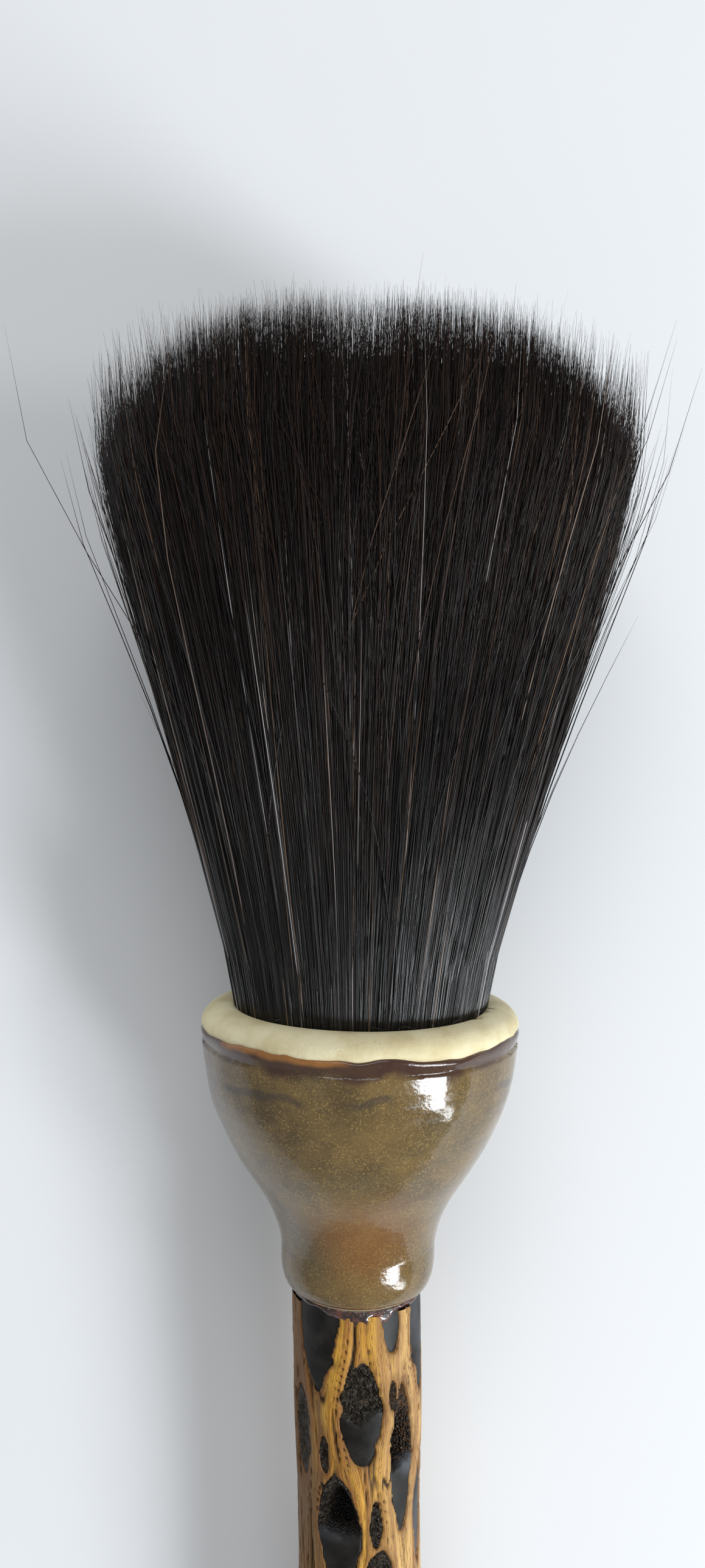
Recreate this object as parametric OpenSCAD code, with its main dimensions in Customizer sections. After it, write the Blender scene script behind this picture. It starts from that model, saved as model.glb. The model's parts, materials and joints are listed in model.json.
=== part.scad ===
// Large calligraphy brush: a horsehair tuft set in a glazed ceramic cup on a cactus-wood handle.
// It lies on a table along Y, tuft towards +Y, resting on the cup, the tuft and the handle's end.
// Every piece is drawn with the brush's axis along Z, lip of the cup at zero, tuft upwards,
// and module lay() tips the finished piece over onto the table.

/* [Ceramic cup] */
// Radius of the cup at its widest, just below the lip
rim_r = 27.2; // [25:0.1:33]
// Radius of the mouth
mouth_r = 20.9; // [17:0.1:21.5]
// Length from the lip to the foot
cup_len = 50; // [46:0.5:60]
// Depth below the lip at which the cup is widest
shoulder_depth = 3; // [2:0.5:4]
// Radius of the waist above the foot
waist_r = 13.3; // [12:0.1:16]
// Height of the foot below the waist
foot_len = 9; // [7:0.5:11]
// Width of the rounding at the foot's edge
foot_round = 4; // [3:0.1:5]
// Depth of the hollow that holds the hair
cavity_depth = 27; // [25:0.5:29]
// Depth of the glaze's upper edge below the lip
glaze_top = 6; // [4.5:0.1:9]
// Thickness of the glaze
glaze_t = 0.4; // [0.2:0.1:0.6]

/* [Tuft] */
// Length of the hair beyond the lip
tuft_len = 114; // [95:1:140]
// Distance from the lip to the widest part of the tuft
tuft_wide_at = 94; // [78:1:112]
// Half of the tuft's width at its widest
tuft_half_w = 44; // [36:0.5:54]
// Height of the tuft above the brush's axis at its widest
tuft_up = 26; // [22:0.5:32]
// Drop of the tuft below the brush's axis at its widest, before the table flattens it
tuft_down = 36.5; // [34:0.5:44]
// Gap between the hair and the mouth of the cup
hair_gap = 0.3; // [0.2:0.05:0.6]
// Radius of the tied end of the hair
tied_r = 12.6; // [10:0.1:13]
// Radius of the binding thread
thread_r = 0.6; // [0.4:0.05:0.8]
// Number of turns of the binding thread
thread_turns = 5; // [3:1:5]

/* [Tuft bend] */
// Distance from the lip to the bend line
bend_at = 32; // [28:1:40]
// Half angle of the bending part at the bend line
bend_edge = 55; // [45:1:58]
// Gap between the fixed and the bending hair
bend_gap = 0.8; // [0.6:0.1:1.2]

/* [Handle] */
// Radius of the handle where it meets the cup
handle_r = 11.4; // [11:0.1:13.5]
// Length of the wooden part of the handle
handle_len = 165; // [150:1:200]
// Depth of the natural waists along the handle
waist_depth = 0.9; // [0:0.1:1.2]
// Radius of the dowel inside the handle
rod_r = 6.3; // [5:0.1:6.8]
// Length of the dowel inside the cup's foot
rod_in_cup = 17; // [14:0.5:18]
// Length of the cap on the handle's end
cap_len = 13; // [12:0.5:18]
// Radius of the hanging hole across the cap
hang_r = 2; // [1.5:0.1:2.5]

/* [Inlays] */
// Distance between rows of openings along the wood
row_pitch = 11.5; // [11:0.1:13]
// Length of an opening in the regular rows
row_window_len = 19; // [15:0.5:20]
// Width of an opening in the regular rows
row_window_w = 9; // [6:0.5:9]
// Depth of a flush inlay below the wood
flush_drop = 0.1; // [0:0.05:0.3]

/* [Hidden] */
$fn = 120;
steps = 20;

// Lip and foot of the cup
lip_out = 4;
lip_in = 1.6;
foot_round_len = 6;
foot_bare = 1.4;
waist_bulge = 1.2;
belly_reach = 21;
neck_reach = 11;
// Hollow inside the cup
straight_depth = 12;
cone_depth = 18;
tied_room_r = 15;
resin_top = 5;
resin_floor = 2;
// Tuft outline
ring_sides = 32;
roundness = 2.3;
root_steps = 6;
flare_steps = 9;
end_steps = 7;
cap_steps = 5;
settle_steps = 20;
tip_angle = 70;
bend_margin = 0.6;
// Cap at the handle's end
cap_round = 6;
cap_tenon = 3;
cap_step = 0.2;
// Depth of the pockets that hold the inlays, as the share of the wood's radius left below them
pocket_share = 0.76;
// Handle
waist_start = 8;
waist_period = 75;
handle_steps = 22;

hair_r = mouth_r - hair_gap;
rod_top = cup_len - rod_in_cup;
handle_end = cup_len + handle_len;
brush_end = handle_end + cap_len;
waist_at = cup_len - foot_len;

// Points on an upright ellipse, angles counted from +X
function arc_points(centre, a, b, from, to, n) =
    [for (i = [0:n]) let (t = from + (to - from) * i / n) centre + [a * cos(t), b * sin(t)]];

// Points on a cubic curve through four controls
function curve_points(p, n) =
    [for (i = [1:n]) let (t = i / n, u = 1 - t)
        u^3 * p[0] + 3 * u^2 * t * p[1] + 3 * u * t^2 * p[2] + t^3 * p[3]];

function reversed(points) = [for (i = [len(points) - 1:-1:0]) points[i]];

// Outside of the cup as [radius, height], from the lip down to the foot
lip_points = concat(
    arc_points([mouth_r + lip_in, -lip_in], lip_in, lip_in, 180, 90, 6),
    arc_points([rim_r - lip_out, -shoulder_depth], lip_out, shoulder_depth, 90, 0, 8));
wall_points = curve_points([
    [rim_r, -shoulder_depth],
    [rim_r, -shoulder_depth - belly_reach],
    [waist_r + waist_bulge, neck_reach - waist_at],
    [waist_r, -waist_at]], steps);
foot_points = concat(
    [[waist_r, foot_round_len - cup_len]],
    arc_points([waist_r - foot_round, foot_round_len - cup_len], foot_round, foot_round_len, -15, -90, 6));
side_points = concat(wall_points, foot_points);
bare_top = [for (p = side_points) if (-p[1] <= glaze_top) p];
glazed = [for (p = side_points) if (-p[1] > glaze_top && -p[1] < cup_len - foot_bare) p];
bare_foot = [for (p = side_points) if (-p[1] >= cup_len - foot_bare) p];
under_glaze = [for (p = glazed) [p[0] - glaze_t, p[1]]];
glaze_foot = glazed[len(glazed) - 1];

// Radius of the wood at a depth below the lip
function wood_r(depth) =
    handle_r - waist_depth * (1 - cos(360 * (depth - cup_len - waist_start) / waist_period)) / 2;
handle_points = [for (i = [0:handle_steps])
    let (depth = cup_len + handle_len * i / handle_steps) [wood_r(depth), -depth]];
cap_r = wood_r(handle_end) - cap_step;
cap_points = concat(
    [[cap_r, -handle_end]],
    arc_points([cap_r - cap_round, cap_round - brush_end], cap_round, cap_round, 0, -90, 8));
hang_depth = brush_end - cap_round;

// The brush rests on the cup and on the cap, so its axis leans by the tangent to both
rest_point = cap_points[1];
lean = atan(max([for (p = concat(lip_points, side_points)) (p[0] - rest_point[0]) / (p[1] - rest_point[1])]));
axis_height = rest_point[0] * cos(lean) - rest_point[1] * sin(lean);

// Outline of the tuft, flattened where it lies on the table: [across, height] at an angle and a length
function grown(from, to, s) = from + (to - from) * max(0, min(s / tuft_wide_at, 1));
function table_at(s) = -(axis_height + s * sin(lean)) / cos(lean);
function power(x, s) = sign(x) * pow(abs(x), 2 / grown(2, roundness, s));
function tuft_side(a, s, q = 1) = let (
    reach = sin(a) > 0 ? grown(hair_r, tuft_up, s) : grown(hair_r, tuft_down, s))
    [q * grown(hair_r, tuft_half_w, s) * power(cos(a), s),
     max(q * reach * power(sin(a), s), table_at(s))];

// Bend line of the tuft, midway through its thickness
bend_up = grown(hair_r, tuft_up, bend_at);
bend_down = grown(hair_r, tuft_down, bend_at);
bend_v = (bend_up - bend_down) / 2;
bend_r = (bend_up + bend_down) / 2 + bend_margin;

// Where the fixed hair ends and the bending hair starts, at a height v
function root_end(v) = bend_at + sqrt(max(bend_r^2 - (v - bend_v)^2, 0));
function tuft_start(v) = let (dv = abs(v - bend_v), r = bend_r + bend_gap)
    dv < r * sin(bend_edge) ? bend_at + sqrt(r^2 - dv^2) : bend_at + dv / tan(bend_edge);
function settled(a, s, fixed, n) = n == 0 ? s
    : let (v = tuft_side(a, s)[1]) settled(a, fixed ? root_end(v) : tuft_start(v), fixed, n - 1);

// Rings of points round the axis, each [across, down, along]
angles = [for (i = [0:ring_sides - 1]) 360 * (i + 0.5) / ring_sides];
function round_ring(s, r) = [for (a = angles) [r * cos(a), -r * sin(a), s]];
function tuft_ring(s, q) = [for (a = angles) let (p = tuft_side(a, s, q)) [p[0], -p[1], s]];
function slanted_ring(from, to, f) =
    [for (i = [0:ring_sides - 1])
        let (s = from[i] + (to[i] - from[i]) * f, p = tuft_side(angles[i], s)) [p[0], -p[1], s]];
function cap_ring(ends, q, fixed) =
    [for (i = [0:ring_sides - 1]) let (
        p = tuft_side(angles[i], ends[i]), v = bend_v + (p[1] - bend_v) * q)
        [p[0] * q, -v, fixed ? root_end(v) : tuft_start(v)]];
tied_floor = cavity_depth - resin_floor;
thread_room = tied_r + 2 * thread_r;
root_ends = [for (a = angles) settled(a, bend_at, true, settle_steps)];
tuft_starts = [for (a = angles) settled(a, bend_at, false, settle_steps)];
lip_starts = [for (a = angles) 0];
wide_ends = [for (a = angles) tuft_wide_at];
root_rings = concat(
    [round_ring(-tied_floor, tied_r), round_ring(-cone_depth, tied_r),
     round_ring(-cone_depth, thread_room), round_ring(-straight_depth, hair_r)],
    [for (i = [0:root_steps]) slanted_ring(lip_starts, root_ends, i / root_steps)],
    [for (i = [cap_steps - 1:-1:1]) cap_ring(root_ends, i / cap_steps, true)]);
tuft_rings = concat(
    [for (i = [1:cap_steps - 1]) cap_ring(tuft_starts, i / cap_steps, false)],
    [for (i = [0:flare_steps]) slanted_ring(tuft_starts, wide_ends, i / flare_steps)],
    [for (i = [1:end_steps]) let (a = tip_angle * i / end_steps)
        tuft_ring(tuft_wide_at + (tuft_len - tuft_wide_at) * sin(a) / sin(tip_angle), cos(a))]);

// Middle of the brush's length once it lies down
front_y = max([for (ring = tuft_rings) for (p = ring) p[2] * cos(lean) + p[1] * sin(lean)]);
back_y = max([for (p = cap_points) p[0] * sin(lean) - p[1] * cos(lean)]);
middle_y = (front_y - back_y) / 2;

// Openings in the wood: [depth, angle from the top, length, width, pit depth, pit share]
windows = [
    [cup_len, -37, 27, 8.2, 0, 0],
    [cup_len + 16.5, 3, 18.2, 7.2, 0.8, 0.55],
    [cup_len + 25.5, 43, 24, 5.4, 2.1, 0.78],
    [cup_len + 22, -60, 16, 4.6, 0.6, 1],
    [cup_len + 37, -20, 18.5, 8.3, 2, 0.45],
    [cup_len + 2, 75, 28, 8.4, 0, 0],
    [cup_len + 36, 16, 8, 2.4, 0.5, 1],
    [cup_len + 48.5, 20, 17, 6, 0.4, 0.5],
    [cup_len + 37, 72, 18, 5, 0, 0],
    [cup_len + 24.4, -32, 6.5, 2, 0.6, 1],
    [cup_len + 2, 31, 10, 3.4, 0, 0],
    [cup_len + 13.8, 32, 5.5, 1.6, 0.2, 1],
    [cup_len + 10, -94, 17, 5, 0, 0],
    [cup_len + 32, -96, 16, 4.4, 2, 0.6],
    [cup_len + 27, 98, 17, 4.2, 0.5, 0.5]];

// Regular rows: two staggered rows at the back of the first stretch, then rows all round
back_rows = 4;
back_first = 7.3;
back_window = [16, 6];
all_rows = 9;
all_first = 57;
row_turn = -25;
row_shift = 45;
function pit_depth(n) = 1.2 + sin(137 * n);
function back_angles(k) = k % 2 == 0 ? [135, 225] : [180];
function all_angles(k) = [for (j = [0:3]) row_turn + row_shift * (k % 2) + 90 * j];
function row_windows(k) = k < back_rows
    ? [for (a = back_angles(k))
        [cup_len + back_first + row_pitch * k, a, back_window[0], back_window[1], 0, 0]]
    : let (i = k - back_rows)
        [for (a = all_angles(i)) let (n = a + 7 * i)
            [cup_len + all_first + row_pitch * i, a,
             row_window_len - 1 + sin(67 * n), row_window_w - 0.5 + 0.5 * sin(113 * n),
             max(pit_depth(n), 0), sin(61 * n) > 0 ? 0.5 : 0]];
rows = [for (k = [0:back_rows + all_rows - 1]) row_windows(k)];

// Tips a piece from upright to lying, resting on the table at z = 0
module lay() {
    translate([0, -middle_y, axis_height])
        rotate([lean - 90, 0, 0])
            children();
}

module lathe(points) {
    rotate_extrude() polygon(points);
}

// Points to a place on the handle: the child's Z runs outwards through the wood
module at_wood(depth, angle) {
    rotate([0, 0, angle])
        translate([0, 0, -depth])
            rotate([90, 0, 0])
                children();
}

// Pointed oval with its length upright
module lens(length, width) {
    r = (length^2 + width^2) / (4 * width);
    intersection() {
        translate([r - width / 2, 0]) circle(r);
        translate([width / 2 - r, 0]) circle(r);
    }
}

module window(w) {
    at_wood(w[0], w[1])
        translate([0, 0, pocket_share * handle_r])
            linear_extrude(handle_r) lens(w[2], w[3]);
}

// Inlay stone and resin that fills a window, with a pit left at its upper end
module inlay_fill(w) {
    pit_r = handle_r - w[4];
    pit_top = w[0] - w[2] / 2;
    color([0.17, 0.16, 0.15])
        intersection() {
            window(w);
            difference() {
                lathe(concat([[rod_r, -handle_end], [rod_r, -cup_len]],
                    [for (p = handle_points) [p[0] - flush_drop, p[1]]]));
                if (w[5] > 0)
                    translate([0, 0, -pit_top - w[2] * w[5]])
                        difference() {
                            cylinder(r = handle_r + 1, h = w[2] * w[5] + 1);
                            translate([0, 0, -1]) cylinder(r = pit_r, h = w[2] + 3);
                        }
            }
        }
}

module inlay(i) {
    lay() inlay_fill(windows[i]);
}

module inlay_row(k) {
    lay() for (w = rows[k]) inlay_fill(w);
}

module ceramic_cup() {
    color([0.88, 0.83, 0.64])
        lay() lathe(concat(
            [[mouth_r, -straight_depth]], lip_points, bare_top,
            [glazed[0]], under_glaze, [glaze_foot], bare_foot,
            [[rod_r, -cup_len], [rod_r, -rod_top], [0, -rod_top],
             [0, -cavity_depth], [tied_room_r, -cavity_depth], [tied_room_r, -cone_depth]]));
}

module glaze_coat() {
    color([0.42, 0.33, 0.18])
        lay() lathe(concat(glazed, reversed(under_glaze)));
}

module root_resin() {
    color([0.35, 0.2, 0.1])
        lay() lathe([
            [mouth_r, -resin_top], [mouth_r, -straight_depth], [tied_room_r, -cone_depth],
            [tied_room_r, -cavity_depth], [0, -cavity_depth], [0, -tied_floor],
            [thread_room, -tied_floor], [thread_room, -cone_depth],
            [hair_r, -straight_depth], [hair_r, -resin_top]]);
}

module binding_thread() {
    first = cone_depth + thread_r;
    pitch = (cavity_depth - resin_floor - cone_depth - 2 * thread_r) / (thread_turns - 1);
    color([0.6, 0.12, 0.1])
        lay() for (i = [0:thread_turns - 1])
            translate([0, 0, -first - pitch * i])
                rotate_extrude() translate([tied_r + thread_r, 0]) circle(thread_r, $fn = 24);
}

// Closed solid through a list of rings, with a point at each end
module ring_solid(rings, start, end) {
    n = ring_sides;
    last = len(rings) - 1;
    count = n * len(rings);
    polyhedron(
        points = concat([for (ring = rings) each ring], [start, end]),
        faces = concat(
            [for (i = [0:n - 1]) [count, (i + 1) % n, i]],
            [for (r = [0:last - 1], i = [0:n - 1]) let (j = (i + 1) % n)
                each [[r * n + i, r * n + j, (r + 1) * n + i],
                      [r * n + j, (r + 1) * n + j, (r + 1) * n + i]]],
            [for (i = [0:n - 1]) [count + 1, last * n + i, last * n + (i + 1) % n]]));
}

module hair_root() {
    color([0.1, 0.08, 0.07])
        lay() ring_solid(root_rings, [0, 0, -tied_floor], [0, -bend_v, root_end(bend_v)]);
}

module hair_tuft() {
    last = tuft_rings[len(tuft_rings) - 1];
    color([0.13, 0.1, 0.09])
        lay() ring_solid(tuft_rings, [0, -bend_v, tuft_start(bend_v)], [0, 0, last[0][2]]);
}

// Glue that fills the wedge between the rounded foot and the end of the wood
module neck_adhesive() {
    inner = waist_r - foot_round;
    edge = [for (p = foot_points) if (p[0] < handle_r) p];
    color([0.3, 0.1, 0.06])
        lay() lathe(concat([[edge[0][0], -cup_len]], edge));
}

module core_rod() {
    color([0.7, 0.5, 0.28])
        lay() translate([0, 0, cap_tenon - handle_end])
            cylinder(r = rod_r, h = handle_end - cap_tenon - rod_top);
}

module cholla_handle() {
    color([0.85, 0.62, 0.25])
        lay() difference() {
            lathe(concat([[rod_r, -handle_end], [rod_r, -cup_len]], handle_points));
            for (w = windows) window(w);
            for (row = rows) for (w = row) window(w);
        }
}

module end_cap() {
    color([0.17, 0.16, 0.15])
        lay() difference() {
            lathe(concat([[0, cap_tenon - handle_end], [rod_r, cap_tenon - handle_end],
                [rod_r, -handle_end]], cap_points, [[0, -brush_end]]));
            translate([0, 0, -hang_depth]) rotate([0, 90, 0])
                cylinder(r = hang_r, h = 4 * handle_r, center = true);
        }
}

ceramic_cup();
glaze_coat();
root_resin();
binding_thread();
hair_root();
hair_tuft();
neck_adhesive();
core_rod();
cholla_handle();
end_cap();
inlay(0);  // inlay_01
inlay(1);  // inlay_02
inlay(2);  // inlay_03
inlay(3);  // inlay_04
inlay(4);  // inlay_05
inlay(5);  // inlay_06
inlay(6);  // inlay_07
inlay(7);  // inlay_08
inlay(8);  // inlay_09
inlay(9);  // inlay_10
inlay(10);  // inlay_11
inlay(11);  // inlay_12
inlay(12);  // inlay_13
inlay(13);  // inlay_14
inlay(14);  // inlay_15
inlay_row(0);  // inlay_row_01
inlay_row(1);  // inlay_row_02
inlay_row(2);  // inlay_row_03
inlay_row(3);  // inlay_row_04
inlay_row(4);  // inlay_row_05
inlay_row(5);  // inlay_row_06
inlay_row(6);  // inlay_row_07
inlay_row(7);  // inlay_row_08
inlay_row(8);  // inlay_row_09
inlay_row(9);  // inlay_row_10
inlay_row(10);  // inlay_row_11
inlay_row(11);  // inlay_row_12
inlay_row(12);  // inlay_row_13
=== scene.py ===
"""A large calligraphy brush lying on a pale table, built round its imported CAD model."""

import json
import math

import bpy
import numpy as np
from mathutils import Euler, Matrix, Vector


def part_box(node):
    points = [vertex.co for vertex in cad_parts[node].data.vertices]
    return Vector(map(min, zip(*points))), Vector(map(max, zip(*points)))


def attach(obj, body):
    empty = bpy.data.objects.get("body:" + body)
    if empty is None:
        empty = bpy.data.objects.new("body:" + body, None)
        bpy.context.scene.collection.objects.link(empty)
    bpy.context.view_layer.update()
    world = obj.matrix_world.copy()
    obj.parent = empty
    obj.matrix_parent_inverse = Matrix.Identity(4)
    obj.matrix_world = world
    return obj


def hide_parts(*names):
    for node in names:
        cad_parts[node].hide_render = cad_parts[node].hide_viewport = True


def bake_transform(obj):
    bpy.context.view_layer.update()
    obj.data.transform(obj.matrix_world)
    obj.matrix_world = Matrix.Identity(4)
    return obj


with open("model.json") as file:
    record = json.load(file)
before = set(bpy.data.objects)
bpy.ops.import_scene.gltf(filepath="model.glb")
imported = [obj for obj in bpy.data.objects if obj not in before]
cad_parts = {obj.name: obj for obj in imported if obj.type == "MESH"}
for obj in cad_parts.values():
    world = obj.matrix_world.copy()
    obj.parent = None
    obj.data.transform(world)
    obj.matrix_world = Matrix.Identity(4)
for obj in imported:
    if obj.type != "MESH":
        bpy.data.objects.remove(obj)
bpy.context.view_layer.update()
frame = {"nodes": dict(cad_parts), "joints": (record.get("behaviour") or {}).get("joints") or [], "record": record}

bl_info = {
    "name": "Large Calligraphy Brush",
    "version": (1, 0, 0),
    "blender": (4, 5, 0),
    "location": "View3D > Sidebar > Brush",
    "description": "Builds the hair, glazed cup and inlaid wooden handle of a large brush",
    "category": "Add Mesh",
}

MM = 0.001
# Degrees round the handle without a vertex that part two inlays of one node
WINDOW_GAP = 9
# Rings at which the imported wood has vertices
WOOD_RINGS = 23
# 1.5 makes the openings pointed, 2 makes them ellipses
BLUNTNESS = 1.7
# Locks that the hairs gather into
LOCKS = 260
# Share of the hairs that stand well out from the rest
FLYAWAYS = 0.006


# ---- Places read from the frame ----


def node_points(name):
    """Vertices of a CAD node in the row frame, in metres."""
    return np.array([v.co for v in frame["nodes"][name].data.vertices], float).reshape(-1, 3)


def middle_of(name):
    """Middle of a CAD node's box."""
    low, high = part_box(name)
    return np.array((low + high) / 2)


def axis_of_brush():
    """Direction of the brush from its tail to its hair: through the hole's middle and the thread's."""
    mounts = frame["record"]["mounts"]
    hole = next(m for m in mounts if m["name"] == "hang_hole")
    tail = np.array(hole["pos_m"], float)
    along = middle_of("binding_thread") - tail
    along[0] = 0
    return tail, along / np.linalg.norm(along)


TAIL, ALONG = axis_of_brush()
ACROSS = np.array([1.0, 0.0, 0.0])
UPWARD = np.cross(ACROSS, ALONG)
LIP = TAIL + ALONG * ((node_points("ceramic_cup") - TAIL) @ ALONG).max()


def placed(x, s, v):
    """Row-frame points from brush coordinates: across, along from the lip, and up, in metres."""
    x, s, v = np.broadcast_arrays(x, s, v)
    return LIP + x[..., None] * ACROSS + s[..., None] * ALONG + v[..., None] * UPWARD


def measured(points):
    """Brush coordinates across, along and up of row-frame points."""
    away = points - LIP
    return away @ ACROSS, away @ ALONG, away @ UPWARD


def wood_rings():
    """Depths below the lip of the wood's rings, and the wood's radius at each."""
    x, s, v = measured(node_points("cholla_handle"))
    radius = np.hypot(x, v)
    depths = np.linspace(-s.max(), -s.min(), WOOD_RINGS)
    near = 0.2 * MM
    return depths, np.array([radius[np.abs(-s - d) < near].max() for d in depths])


def tuft_sizes():
    """Length of the tuft from the lip, where it is widest, half its width there, and its height."""
    x, s, v = measured(node_points("hair_tuft"))
    widest = np.abs(x).argmax()
    return {"length": s.max(), "wide_at": s[widest], "half_w": abs(x[widest]), "up": v.max()}


TUFT = tuft_sizes()
CUP_LENGTH = -measured(node_points("ceramic_cup"))[1].min()
CUP_RADIUS = np.hypot(*measured(node_points("ceramic_cup"))[::2]).max()
HANDLE_DEPTHS, HANDLE_RADII = wood_rings()
HANDLE_END = HANDLE_DEPTHS[-1]
HANDLE_MEAN = float(np.mean(HANDLE_RADII))


def mouth_radius():
    """Radius of the hair where it leaves the cup."""
    x, s, v = measured(node_points("hair_root"))
    at_lip = np.abs(s) < 0.5 * MM
    return np.hypot(x[at_lip], v[at_lip]).max()


MOUTH = mouth_radius()


def read_windows():
    """Openings in the wood, one for each solid of the inlay nodes: name, depth, angle, length, width."""
    windows = []
    for name in sorted(n for n in frame["nodes"] if n.startswith("inlay_")):
        x, s, v = measured(node_points(name))
        angle = np.degrees(np.arctan2(x, v)) % 360
        order = np.argsort(angle)
        gaps = np.diff(np.append(angle[order], angle[order[0]] + 360))
        order = np.roll(order, -(gaps.argmax() + 1))
        turns = np.flatnonzero(np.diff(angle[order]) % 360 > WINDOW_GAP) + 1
        for part in np.split(order, turns):
            first = angle[part[0]]
            spread = (angle[part] - first) % 360
            centre = first + spread.max() / 2
            away = np.radians(angle[part] - centre)
            reach = np.hypot(x[part], v[part]) * np.abs(np.sin(away))
            depths = -s[part]
            middle = (depths.max() + depths.min()) / 2
            if depths.min() < CUP_LENGTH + 0.1 * MM:
                middle = depths[reach > 0.985 * reach.max()].mean()
            windows.append((name, middle, math.radians(centre), 2 * (depths.max() - middle),
                            2 * reach.max()))
    return windows


WINDOWS = read_windows()


# ---- Repeatable roughness for shapes ----


def hashed(cells, seed):
    """A number from 0 to 1 for each whole-number cell."""
    mixed = (cells[..., 0] * 374761393 + cells[..., 1] * 668265263 + cells[..., 2] * 2147483647
             + seed * 974634777) & 0xFFFFFFFF
    mixed = ((mixed ^ (mixed >> 13)) * 1274126177) & 0xFFFFFFFF
    return ((mixed ^ (mixed >> 16)) & 0xFFFF) / 65535.0


def rough(points, size, seed=0):
    """Smooth random field from -1 to 1, with bumps about size across."""
    scaled = np.asarray(points, float) / size
    base = np.floor(scaled).astype(np.int64)
    part = scaled - base
    part = part * part * (3 - 2 * part)
    total = np.zeros(scaled.shape[:-1])
    for corner in range(8):
        step = np.array([corner & 1, corner >> 1 & 1, corner >> 2 & 1])
        weight = np.prod(np.where(step, part, 1 - part), axis=-1)
        total += weight * hashed(base + step, seed)
    return 2 * total - 1


def eased(x, low, high):
    """0 below low, 1 above high, eased between."""
    t = np.clip((x - low) / (high - low), 0, 1)
    return t * t * (3 - 2 * t)


# ---- Meshes ----


def new_piece(name, points, faces, smooth=True, fields=None):
    """A mesh object from points and equal-sided faces, with point fields as attributes."""
    mesh = bpy.data.meshes.new(name)
    faces = np.asarray(faces, np.int32)
    sides = faces.shape[1]
    mesh.vertices.add(len(points))
    mesh.vertices.foreach_set("co", np.asarray(points, np.float32).ravel())
    mesh.loops.add(faces.size)
    mesh.loops.foreach_set("vertex_index", faces.ravel())
    mesh.polygons.add(len(faces))
    mesh.polygons.foreach_set("loop_start", np.arange(0, faces.size, sides, dtype=np.int32))
    mesh.update(calc_edges=True)
    mesh.polygons.foreach_set("use_smooth", np.full(len(faces), smooth))
    for key, values in (fields or {}).items():
        values = np.asarray(values, np.float32)
        kind = "FLOAT" if values.ndim == 1 else "FLOAT_VECTOR"
        made = mesh.attributes.new(key, kind, "POINT")
        made.data.foreach_set("value" if values.ndim == 1 else "vector", values.ravel())
    mesh.validate()
    made = bpy.data.objects.new(name, mesh)
    bpy.context.scene.collection.objects.link(made)
    return made


def grid_faces(rows, columns, closed=True):
    """Quads over a grid of points, row by row. closed joins each row's end to its start."""
    span = columns if closed else columns - 1
    i, j = np.meshgrid(np.arange(rows - 1), np.arange(span), indexing="ij")
    k = (j + 1) % columns
    return np.stack([i * columns + j, i * columns + k, (i + 1) * columns + k, (i + 1) * columns + j],
                    axis=-1).reshape(-1, 4)


def lathe_points(radius, s, angle):
    """Round-the-axis points: angle 0 is up, and a quarter turn is towards +X."""
    return placed(radius * np.sin(angle), s, radius * np.cos(angle))


def angle_between(first, second):
    """The turn from the second angle to the first, from -pi to pi."""
    return (first - second + math.pi) % (2 * math.pi) - math.pi


def round_ring(angle):
    """Points of a unit circle, for roughness that closes on itself round the axis."""
    return np.stack([np.sin(angle), np.cos(angle), 0 * angle], axis=-1)


# ---- Materials ----


class Wire:
    """A number in a material. Arithmetic on it adds Math nodes."""

    def __init__(self, look, socket):
        self.look = look
        self.socket = socket

    def maths(self, operation, *others):
        made = self.look.node("ShaderNodeMath", {"operation": operation},
                              dict(enumerate((self, *others))))
        return Wire(self.look, made.outputs[0])

    def __add__(self, other):
        return self.maths("ADD", other)

    def __radd__(self, other):
        return self.maths("ADD", other)

    def __sub__(self, other):
        return self.maths("SUBTRACT", other)

    def __rsub__(self, other):
        return (self * -1).maths("ADD", other)

    def __mul__(self, other):
        return self.maths("MULTIPLY", other)

    def __rmul__(self, other):
        return self.maths("MULTIPLY", other)

    def within(self, low, high):
        """0 below low, 1 above high, eased between; low may be the larger."""
        made = self.look.node("ShaderNodeMapRange", {"interpolation_type": "SMOOTHSTEP"},
                              {"Value": self, "From Min": low, "From Max": high})
        return Wire(self.look, made.outputs[0])


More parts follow.
